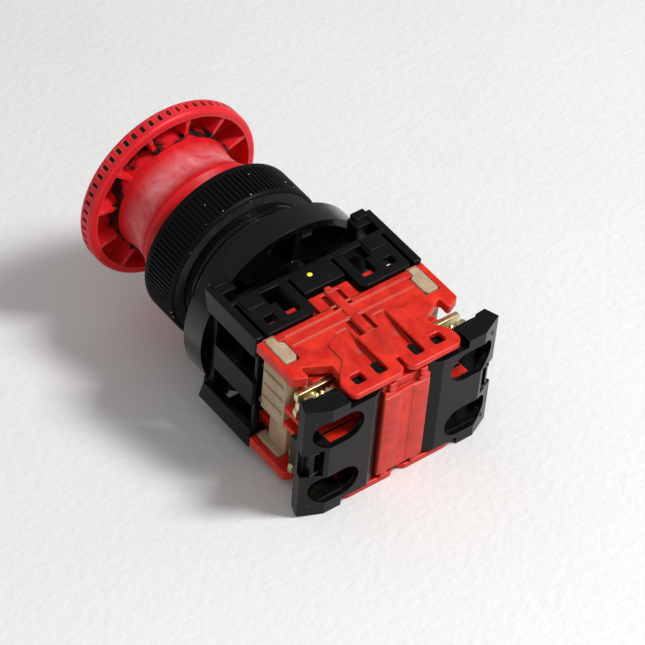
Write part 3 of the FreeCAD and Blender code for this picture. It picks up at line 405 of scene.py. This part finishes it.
def dress(node, look, width, angle=BEVEL_ANGLE):
    """A finished copy of a CAD node with rounded edges, which stands for it."""
    mesh = frame["nodes"][node].data.copy()
    weld(mesh)
    piece = add(node + "_finish", mesh, look, BODY_OF[node])
    soften(piece, width, angle)
    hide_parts(node)


def paint_node(node, look):
    """Keeps a CAD node's own shape, with a finished material."""
    for entry in frame["nodes"][node].material_slots:
        entry.material = LOOKS[look]


def squashed_spring(node):
    """A finished copy of a CAD spring, which stands for it."""
    piece = add(node + "_finish", frame["nodes"][node].data.copy(), "steel", BODY_OF[node])
    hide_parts(node)
    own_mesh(piece)


# ---------------------------------------------------------------- moulded pieces, built from slabs
# Their outlines, levels and radii are in millimetres in the frame, and a third number in an outline is
# that corner's radius.

# where an outline's two numbers and the levels go in the row frame
PLANES = {"z": (0, 1, 2), "y": (0, 2, 1), "x": (1, 2, 0)}
STRAIGHT = math.radians(86)  # half of a corner so open that it needs no arc
LONGEST_ARC = 0.45  # the most of an edge that one corner's arc takes up


def mirrored(points):
    """An outline's mirror image in the middle plane x = 0."""
    return [(-point[0], *point[1:]) for point in reversed(points)]


def flipped(points):
    """An outline's mirror image in the middle plane z = 0, where z is its second number."""
    return [(first, -z, *rest) for first, z, *rest in reversed(points)]


def pair(points):
    """An outline on the +X side, and its mirror image."""
    return [points, mirrored(points)]


def whole(points):
    """A whole outline from the half on one side of the middle plane."""
    return points + mirrored(points)


def turner(side):
    """What takes an outline from the +X side to this side, which is 1 for +X and -1 for -X."""
    return mirrored if side < 0 else lambda points: points


def placer(side, level):
    """The same for an outline in the quarter towards +X and +Z, with a level of 1 or -1 for z."""
    turn = turner(side)
    return (lambda points: flipped(turn(points))) if level < 0 else turn


def beyond(sign, low, high):
    """Two levels on the positive side of a middle plane, or on its negative side."""
    return (low, high) if sign > 0 else (-high, -low)


def oblong(x0, x1, y0, y1):
    return [(x0, y0), (x1, y0), (x1, y1), (x0, y1)]


def circle(x, y, radius, height=None, steps=20):
    """A round outline, or an oval one if its half height is another."""
    angles = [math.tau * step / steps for step in range(steps)]
    return [(x + radius * math.cos(angle), y + (height or radius) * math.sin(angle)) for angle in angles]


def rounded(points, radius=0.25, steps=3):
    """The outline with an arc at each corner. A third number is that corner's own radius."""
    soft = []
    for index, point in enumerate(points):
        corner = Vector(point[:2])
        before = Vector(points[index - 1][:2]) - corner
        after = Vector(points[(index + 1) % len(points)][:2]) - corner
        half = before.angle(after) / 2
        if half > STRAIGHT:
            soft.append(corner)
            continue
        wanted = point[2] if len(point) > 2 else radius
        reach = min(wanted / math.tan(half), LONGEST_ARC * before.length, LONGEST_ARC * after.length)
        centre = corner + (before.normalized() + after.normalized()).normalized() * (reach / math.cos(half))
        start = corner + before.normalized() * reach - centre
        stop = corner + after.normalized() * reach - centre
        sweep = start.angle_signed(stop)
        for step in range(steps + 1):
            soft.append(centre + Matrix.Rotation(-sweep * step / steps, 2) @ start)
    return soft


def slab(work, outlines, low, high, across="z", soft=0.15, radius=0.25, material=0):
    """Adds a plate with rounded edges: the first outline is its edge, the others are holes, and it
    lies between two levels along an axis. Soft is its edges' radius, and radius its corners'."""
    data = bpy.data.curves.new("outline", "CURVE")
    data.dimensions = "2D"
    data.fill_mode = "BOTH"
    data.extrude = (high - low) / 2 - soft
    data.bevel_depth = soft
    data.bevel_resolution = 2
    data.offset = -soft
    for points in outlines:
        corners = rounded(points, radius)
        spline = data.splines.new("POLY")
        spline.points.add(len(corners) - 1)
        spline.use_cyclic_u = True
        for spot, corner in zip(spline.points, corners):
            spot.co = (corner.x, corner.y, 0, 1)
    shape = bpy.data.objects.new("outline", data)
    mesh = bpy.data.meshes.new_from_object(shape)
    first, second, third = PLANES[across]
    for vertex in mesh.vertices:
        place = [0, 0, 0]
        place[first], place[second] = vertex.co.x, vertex.co.y
        place[third] = vertex.co.z + (low + high) / 2
        vertex.co = Vector(place) * MM
    fresh = bmesh.new()
    fresh.from_mesh(mesh)
    bmesh.ops.remove_doubles(fresh, verts=fresh.verts, dist=SLAB_WELD_DISTANCE)
    bmesh.ops.recalc_face_normals(fresh, faces=fresh.faces)
    for face in fresh.faces:
        face.material_index = material
    fresh.to_mesh(mesh)
    fresh.free()
    work.from_mesh(mesh)
    bpy.data.objects.remove(shape)
    bpy.data.curves.remove(data)
    bpy.data.meshes.remove(mesh)


def faces_of(work, outlines, low, high, **settings):
    """The same plates above the middle plane z = 0 and below it."""
    slab(work, outlines, low, high, **settings)
    slab(work, outlines, -high, -low, **settings)


def moulded(node, work, looks):
    """A piece from slabs, which stands for the CAD node of its name if there is one."""
    mesh = bpy.data.meshes.new(node + "_mesh")
    work.to_mesh(mesh)
    work.free()
    piece = add(node + "_finish", mesh, looks[0], BODY_OF.get(node, "housing"))
    for look in looks[1:]:
        mesh.materials.append(LOOKS[look])
    mesh.shade_smooth()
    mesh.set_sharp_from_angle(angle=math.radians(MOULDED_SHARP_ANGLE))
    if node in BODY_OF:
        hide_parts(node)


# ---- base frame

DECK = [
    (18.0, 10.2), (18.0, 11.3), (16.9, 11.3, 0.1), (16.9, 20.5), (16.4, 20.95), (5.4, 20.95, 1.5),
    (5.4, 11.4, 0.1), (4.75, 11.4, 0.1), (4.75, 16.3, 0.1),
]
DECK_LEVELS = (12.25, 14.7)
HOOK_WINDOW = oblong(12.7, 15.1, 16.9, 18.9)
PAD_WINDOW = [(7.4, 18.8), (10.5, 18.8), (10.5, 14.9), (11.8, 14.9), (11.8, 11.6), (7.4, 11.6)]
REAR_PAD = oblong(12.2, 16.4, 10.9, 14.2)
FRONT_PAD = oblong(15.05, 18.2, 4.1, 6.1)
CORNER_LUG = oblong(14.2, 18.2, 4.4, 7.6)
HOOK_PLATE = [
    (18.2, -10.4), (18.2, 10.4), (8.5, 10.4), (8.5, 6.4), (10.1, 3.2), (10.6, 0.0), (10.1, -3.2), (8.5, -6.4),
    (8.5, -10.4),
]
HOOK_PLATE_LEVELS = (6.02, 7.6)
OUTER_BAND = [(4.6, 14.65), (20.9, 14.65), (20.9, 9.7), (6.0, 9.7)]
MIDDLE_BAND = oblong(8.6, 20.9, -3.1, 3.1)
WALL_LEVELS = (17.62, 19.4)
REAR_POST = oblong(20.05, 20.9, -10.2, 10.2)
POST_LEVELS = (17.62, 18.6)
PAINT_DOT = circle(0.93, 12.7, 0.55, height=0.5)


def base_frame():
    """Cage of two decks with hook plates, and side walls of three bands."""
    work = bmesh.new()
    faces_of(work, [whole(DECK)] + pair(HOOK_WINDOW) + pair(PAD_WINDOW), *DECK_LEVELS, soft=0.12, radius=0.15)
    for side in SIDES.values():
        turn = turner(side)
        for band in (OUTER_BAND, flipped(OUTER_BAND), MIDDLE_BAND):
            slab(work, [band], *beyond(side, *WALL_LEVELS), across="x")
        slab(work, [REAR_POST], *beyond(side, *POST_LEVELS), across="x", soft=0.08)
        slab(work, [turn(HOOK_PLATE)], *HOOK_PLATE_LEVELS, across="y")
        faces_of(work, [turn(REAR_PAD)], 14.3, 15.04, soft=0.1)
        faces_of(work, [turn(FRONT_PAD)], 14.25, 14.98, soft=0.1)
        faces_of(work, [turn(CORNER_LUG)], 10.0, 14.4, soft=0.1)
    slab(work, [PAINT_DOT], 14.6, 14.78, soft=0.07, radius=0.01, material=1)
    moulded("base_frame", work, ["base", "paint"])


# ---- contact block

PLATE = [
    (19.4, 21.05), (19.4, 31.9, 0.8), (16.2, 33.3, 0.5), (16.3, 31.0), (15.9, 30.4), (11.0, 33.0),
    (11.2, 34.9), (11.6, 36.9), (5.5, 36.9, 0.1), (5.5, 26.9), (3.1, 26.9), (3.1, 36.9, 0.1),
]
LOOPS = [
    (3.1, 30.1, 0.3), (3.1, 39.75), (5.5, 39.75), (5.5, 27.3, 0.3), (8.9, 28.6, 0.8), (8.9, 33.3, 0.8),
    (11.1, 35.4), (12.9, 37.9, 1.0), (13.0, 40.7, 1.3), (11.9, 41.95, 0.9), (1.6, 42.0, 1.2),
    (0.45, 40.9, 0.5), (0.45, 38.2, 0.4),
]
TONGUE = [(4.6, 17.0), (4.6, 21.4, 0.05)]
CATCH_HOLE = oblong(7.9, 10.5, 37.3, 39.7)
POCKET = [
    (18.1, 28.3), (14.7, 28.3), (14.7, 22.9), (15.6, 22.9), (15.6, 21.15), (17.9, 21.15), (17.9, 22.9),
    (18.1, 22.9),
]
FRONT_GROOVE = oblong(1.1, 2.2, 21.2, 22.1)
REAR_GROOVE = oblong(1.1, 2.2, 25.5, 30.0)
TONGUE_GROOVE = oblong(1.1, 2.2, 17.8, 20.9)
GROOVE_FLOOR = oblong(-6.0, 6.0, 17.2, 36.0)
CHANNEL_RAMP = [(26.6, 12.5), (26.6, 13.75), (30.5, 13.0), (33.5, 12.55)]
CHANNEL_SPAN = (3.0, 5.6)
DECK_ARMS = ((12.9, 14.9, 17.9), (7.6, 10.3, 17.0))  # the x span and front end of each
LOOP_POST = oblong(2.9, 4.4, 41.2, 42.3)
SHELF = oblong(14.4, 18.8, 29.6, 35.0)
SHELF_FLOORS = (-0.8, 3.1)
SHELF_DEPTH = 1.05
RIDGE = oblong(-1.0, 1.0, 17.3, 37.0)
RIDGE_PEG = oblong(-0.75, 0.75, 16.55, 18.2)
BAR_FRONTS = (22.3, 24.85)
MIDDLE = oblong(-14.65, 14.65, -11.7, 11.7)
LOW_MIDDLE = oblong(-14.65, 14.65, -10.7, 10.7)
PLUNGER_BORE = circle(11.5, 0, 1.9, steps=24)
CHAMBER = oblong(8.3, 14.1, -10.6, 10.6)
CHAMBER_WALL = oblong(-9.6, 9.6, 21.3, 32.3)
PARTITION = oblong(-16.3, 16.3, 31.9, 38.7)
INNER_PARTITION = oblong(8.8, 16.3, 38.0, 40.95)
PARTITION_LEVELS = (-3.1, 3.1)
CORE = oblong(-5.3, 5.3, -11.7, 11.7)
REAR_FACE = [(5.3, -11.7), (5.3, 10.6), (2.9, 10.6), (2.9, 9.4)]
REAR_PANEL = oblong(1.3, 5.25, -11.2, 9.2)


def contact_block():
    """Two plates with loops and channels, on a narrower middle that holds the pole chambers."""
    work = bmesh.new()
    holes = pair(POCKET) + pair(FRONT_GROOVE) + pair(REAR_GROOVE)
    faces_of(work, [whole(PLATE)] + holes, 11.6, 13.8, soft=0.18)
    faces_of(work, [whole(TONGUE)] + pair(TONGUE_GROOVE), 11.6, 13.72, soft=0.15)
    faces_of(work, [whole(LOOPS)] + pair(CATCH_HOLE), 12.85, 14.28, soft=0.3, radius=0.5)
    faces_of(work, [GROOVE_FLOOR], 11.2, 12.7, soft=0.1)
    for side in SIDES.values():
        turn = turner(side)
        for ramp in (CHANNEL_RAMP, flipped(CHANNEL_RAMP)):
            slab(work, [ramp], *beyond(side, *CHANNEL_SPAN), across="x", soft=0.05, radius=0.05)
        # arms and hooks under the decks of the base frame
        for x0, x1, y0 in DECK_ARMS:
            faces_of(work, [turn(oblong(x0, x1, y0, 21.5))], 9.85, 12.0)
            faces_of(work, [turn(oblong(x0, x1, y0, 18.6))], 11.3, 13.5)
        faces_of(work, [turn(LOOP_POST)], 11.0, 12.7, soft=0.1)
        for low in SHELF_FLOORS:
            slab(work, [turn(SHELF)], low, low + SHELF_DEPTH, soft=0.1)
        slab(work, [turn(INNER_PARTITION)], *PARTITION_LEVELS)
    # ridge along the middle with a peg at its front, and two thin bars across
    faces_of(work, [RIDGE], 13.0, 14.22, soft=0.2)
    faces_of(work, [RIDGE_PEG], 12.6, 14.27, soft=0.2, radius=0.5)
    for y in BAR_FRONTS:
        faces_of(work, [oblong(-14.3, 14.3, y, y + 0.5)], 13.3, 14.12, soft=0.16, radius=0.2)
    # middle: front wall with plunger bores, walls round the chambers, rear wall
    slab(work, [MIDDLE] + pair(PLUNGER_BORE), 21.05, 22.5, across="y", soft=0.1)
    slab(work, [MIDDLE] + pair(CHAMBER), 22.4, 28.4, across="y", soft=0.05)
    slab(work, [LOW_MIDDLE] + pair(CHAMBER), 28.3, 31.2, across="y", soft=0.05)
    slab(work, [LOW_MIDDLE], 31.15, 32.4, across="y", soft=0.1)
    faces_of(work, [CHAMBER_WALL], 10.5, 11.75, soft=0.1)
    slab(work, [PARTITION], *PARTITION_LEVELS)
    # core with the rear face, whose two raised panels leave a groove between them
    slab(work, [CORE], 32.0, 41.2, across="y", soft=0.1)
    slab(work, [whole(REAR_FACE)], 41.0, 42.1, across="y", soft=0.2)
    for panel in pair(REAR_PANEL):
        slab(work, [panel], 41.6, 42.32, across="y", soft=0.2, radius=0.3)
    moulded("contact_block", work, ["block"])


# ---- hooks of the terminal covers

CHANNEL_HOOK = [(4.3, 36.1), (5.25, 36.8), (5.25, 39.6), (3.35, 39.6), (3.35, 36.8)]
HOLE_HOOK = oblong(7.6, 10.8, 37.0, 40.0)


def catches():
    """Black hooks of the terminal covers, in the channels and under the square holes."""
    work = bmesh.new()
    for side in SIDES.values():
        turn = turner(side)
        faces_of(work, [turn(CHANNEL_HOOK)], 12.6, 13.35, soft=0.15, radius=0.2)
        faces_of(work, [turn(HOLE_HOOK)], 12.3, 12.95, soft=0.1)
    moulded("terminal_cover_hooks", work, ["cover"])


# ---- locking clips

CLIP_HEAD = [
    (18.0, 28.15, 0.5), (15.5, 28.15, 0.5), (14.85, 27.2, 0.4), (14.85, 23.4, 0.4), (15.7, 22.9),
    (15.7, 21.3), (16.5, 21.2, 0.7), (17.85, 21.2, 0.5), (17.95, 23.0),
]
CLIP_SIDE = oblong(14.8, 18.0, 21.8, 28.8)
CLIP_TAIL = oblong(14.8, 16.5, 23.0, 28.2)
CLIP_RIB = oblong(17.6, 18.32, 22.4, 28.2)
CLIP_RIB_FLOORS = (0.0, 3.4, 6.8)
CLIP_RIB_DEPTH = 0.7


def locking_clip(side):
    """Nylon clip: a wide head and a tail in each plate, with a ribbed side between them."""
    work = bmesh.new()
    turn = turner(SIDES[side])
    faces_of(work, [turn(CLIP_HEAD)], 11.3, 13.95, soft=0.3)
    slab(work, [turn(CLIP_SIDE)], -3.0, 11.5, soft=0.3)
    slab(work, [turn(CLIP_TAIL)], -11.5, -2.8, soft=0.2)
    for low in CLIP_RIB_FLOORS:
        slab(work, [turn(CLIP_RIB)], low, low + CLIP_RIB_DEPTH, soft=0.15)
    moulded("locking_clip_" + side, work, ["nylon"])


# ---- brass

SCREW_X, SCREW_Z = 15.2, 7.6
WASHER = [
    (11.5, 4.3), (18.9, 4.3), (18.9, 6.4), (18.3, 6.9), (18.3, 8.3), (18.9, 8.8), (18.9, 11.0, 0.5),
    (16.6, 11.0), (16.4, 10.5), (14.0, 10.5), (13.8, 11.0), (11.5, 11.0, 0.6),
]
WASHER_HOLE = circle(SCREW_X, SCREW_Z, 1.9)
WASHER_TEETH = [11.9 + 1.2 * step for step in range(6)]
CLAMP_FACE = [
    (9.9, 4.4), (19.1, 4.4, 0.5), (19.1, 6.2), (18.6, 6.6), (18.6, 8.6), (19.1, 9.0), (19.1, 10.8, 0.5),
    (9.9, 10.8),
]
CLAMP_HOLE = circle(SCREW_X, SCREW_Z, 1.8)
FIXED_BRIDGE = oblong(9.5, 13.5, 5.5, 9.8)
FIXED_TIP = circle(11.5, 7.0, 1.1)
STRIP = oblong(10.0, 13.0, 22.6, 32.5)
SERRATED_PLATE = oblong(9.8, 14.6, 28.9, 32.6)
SERRATIONS = [9.95 + 0.52 * step for step in range(9)]


def clamp_washers():
    """Square washers with ears at the corners, and teeth along the edge away from the middle."""
    work = bmesh.new()
    for side in SIDES.values():
        for level in LEVELS.values():
            place = placer(side, level)
            slab(work, [place(WASHER), place(WASHER_HOLE)], 35.05, 36.0, across="y", soft=0.12)
            for x in WASHER_TEETH:
                tooth = place(oblong(x, x + 0.6, 9.9, 10.9))
                slab(work, [tooth], 34.75, 35.2, across="y", soft=0.08, radius=0.1)
    moulded("clamp_washers", work, ["brass"])


def terminal(level, side):
    """A strip from the fixed tip through the wall to the clamp face, serrated where it shows."""
    work = bmesh.new()
    turn = turner(SIDES[side])
    place = placer(SIDES[side], LEVELS[level])

    def flat(outline, low, high, **settings):
        slab(work, [turn(outline)], *beyond(LEVELS[level], low, high), **settings)

    slab(work, [place(FIXED_BRIDGE)], 22.6, 23.4, across="y", soft=0.1)
    slab(work, [place(FIXED_TIP)], 23.3, 23.9, across="y", soft=0.15)
    flat(STRIP, 9.0, 9.8, soft=0.1)
    slab(work, [place(CLAMP_FACE), place(CLAMP_HOLE)], 32.5, 33.6, across="y", soft=0.12)
    flat(SERRATED_PLATE, 9.7, 10.3, soft=0.1)
    for x in SERRATIONS:
        flat(oblong(x, x + 0.26, 28.9, 32.5), 10.2, 10.55, soft=0.06, radius=0.05)
    moulded("terminal_%s_%s" % (level, side), work, ["brass"])


# half sections of a terminal screw: radius and y
SCREW_HEAD = [(1.5, 38.2), (2.6, 37.9), (3.1, 37.2), (3.2, 36.2), (3.0, 36.1), (1.7, 36.1)]
SCREW_THREAD = [
    point for y in (36.0 - 0.7 * turn for turn in range(7))
    for point in ((1.45, y - 0.15), (1.75, y - 0.45), (1.45, y - 0.62))
]
SCREW_END = [(1.2, 31.0)]
SCREW_STEPS = 32


def terminal_screws():
    """Pan-head screws: a domed head and a threaded stem."""
    work = bmesh.new()
    for x in (SCREW_X, -SCREW_X):
        for z in (SCREW_Z, -SCREW_Z):
            rings = []
            for radius, y in SCREW_HEAD + SCREW_THREAD + SCREW_END:
                outline = circle(x, z, radius, steps=SCREW_STEPS)
                rings.append([work.verts.new(Vector((across, y, up)) * MM) for across, up in outline])
            for low, high in zip(rings, rings[1:]):
                for step in range(SCREW_STEPS):
                    after = (step + 1) % SCREW_STEPS
                    work.faces.new((low[step], low[after], high[after], high[step]))
            work.faces.new(rings[0][::-1])
            work.faces.new(rings[-1])
    bmesh.ops.recalc_face_normals(work, faces=work.faces)
    moulded("terminal_screws", work, ["brass"])


# ---------------------------------------------------------------- the object

dress("mushroom_head", "head", width=0.1 * MM)
dress("head_skirt", "skirt", width=0.1 * MM)
dress("ring_nut", "ring", width=0.08 * MM)
dress("neck_housing", "neck", width=0.1 * MM)
base_frame()
contact_block()
catches()
clamp_washers()
terminal_screws()
for side in SIDES:
    locking_clip(side)
    dress("terminal_cover_" + side, "cover", width=0.14 * MM, angle=COVER_BEVEL_ANGLE)
    for level in LEVELS:
        terminal(level, side)

squashed_spring("return_spring")
for side in SIDES:
    squashed_spring("contact_spring_" + side)

for node, look in {
    "skirt_seal": "rubber", "push_shaft": "neck", "latch_pin_left": "steel", "latch_pin_right": "steel",
    "latch_spring": "steel", "lock_sleeve": "neck", "sealing_washer": "rubber",
    "actuator_yoke": "neck", "plunger_left": "neck", "plunger_right": "neck",
    "contact_bridge_left": "brass", "contact_bridge_right": "brass", "moving_tips_left": "silver",
    "moving_tips_right": "silver",
}.items():
    paint_node(node, look)


# ---------------------------------------------------------------- stage, light and camera

FLOOR_SIZE = 1.2
FLOOR_GAP = 0.05 * MM
WORLD_STRENGTH = 0.34


def floor():
    """A sheet of paper that touches the flange and the terminal covers."""
    rest = Vector((0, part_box("neck_housing")[1].y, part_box("neck_housing")[0].z))
    rear = Vector((0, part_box("terminal_cover_left")[1].y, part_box("terminal_cover_left")[0].z))
    slope = math.atan2(rear.z - rest.z, rear.y - rest.y)
    mesh = bpy.data.meshes.new("paper_sheet")
    work = bmesh.new()
    bmesh.ops.create_grid(work, x_segments=8, y_segments=8, size=FLOOR_SIZE)
    work.to_mesh(mesh)
    work.free()
    sheet = bpy.data.objects.new("paper_sheet", mesh)
    SCENE.collection.objects.link(sheet)
    sheet.matrix_world = Matrix.Translation(rest - Vector((0, 0, FLOOR_GAP))) @ Matrix.Rotation(slope, 4, "X")
    mesh.materials.append(LOOKS["paper"])


def around(azimuth, elevation):
    """A direction at an angle from +X towards +Y, and above the horizon, in degrees."""
    a, e = math.radians(azimuth), math.radians(elevation)
    return Vector((math.cos(e) * math.cos(a), math.cos(e) * math.sin(a), math.sin(e)))


def lamp(name, direction, distance, size, power):
    """A soft square light that faces the middle of the object."""
    data = bpy.data.lights.new(name, "AREA")
    data.shape = "SQUARE"
    data.size = size
    data.energy = power
    light = bpy.data.objects.new(name, data)
    SCENE.collection.objects.link(light)
    light.location = direction * distance
    light.rotation_mode = "QUATERNION"
    light.rotation_quaternion = direction.to_track_quat("Z", "Y")


def photo_camera(direction, aim, distance, roll, lens):
    """The photograph's camera: where it stands seen from its aim, and how far it leans, in degrees."""
    data = bpy.data.cameras.new("photo_camera")
    data.lens = lens
    data.sensor_width = 36
    camera = bpy.data.objects.new("photo_camera", data)
    SCENE.collection.objects.link(camera)
    level = direction.to_track_quat("Z", "Y").to_matrix().to_4x4()
    lean = Matrix.Rotation(math.radians(roll), 4, "Z")
    camera.matrix_world = Matrix.Translation(aim + direction * distance) @ level @ lean
    SCENE.camera = camera


floor()
lamp("key", around(131, 57), distance=0.9, size=0.2, power=7.2)
lamp("fill", around(40, 60), distance=1.0, size=0.8, power=0.8)
world = bpy.data.worlds.new("studio")
SCENE.world = world
world.use_nodes = True
world.node_tree.nodes["Background"].inputs["Color"].default_value = (1, 1, 1, 1)
world.node_tree.nodes["Background"].inputs["Strength"].default_value = WORLD_STRENGTH
photo_camera(around(48.948, 45.563), aim=Vector((-3.02, 13.11, -0.05)) * MM, distance=0.65, roll=5.477,
             lens=190.3)
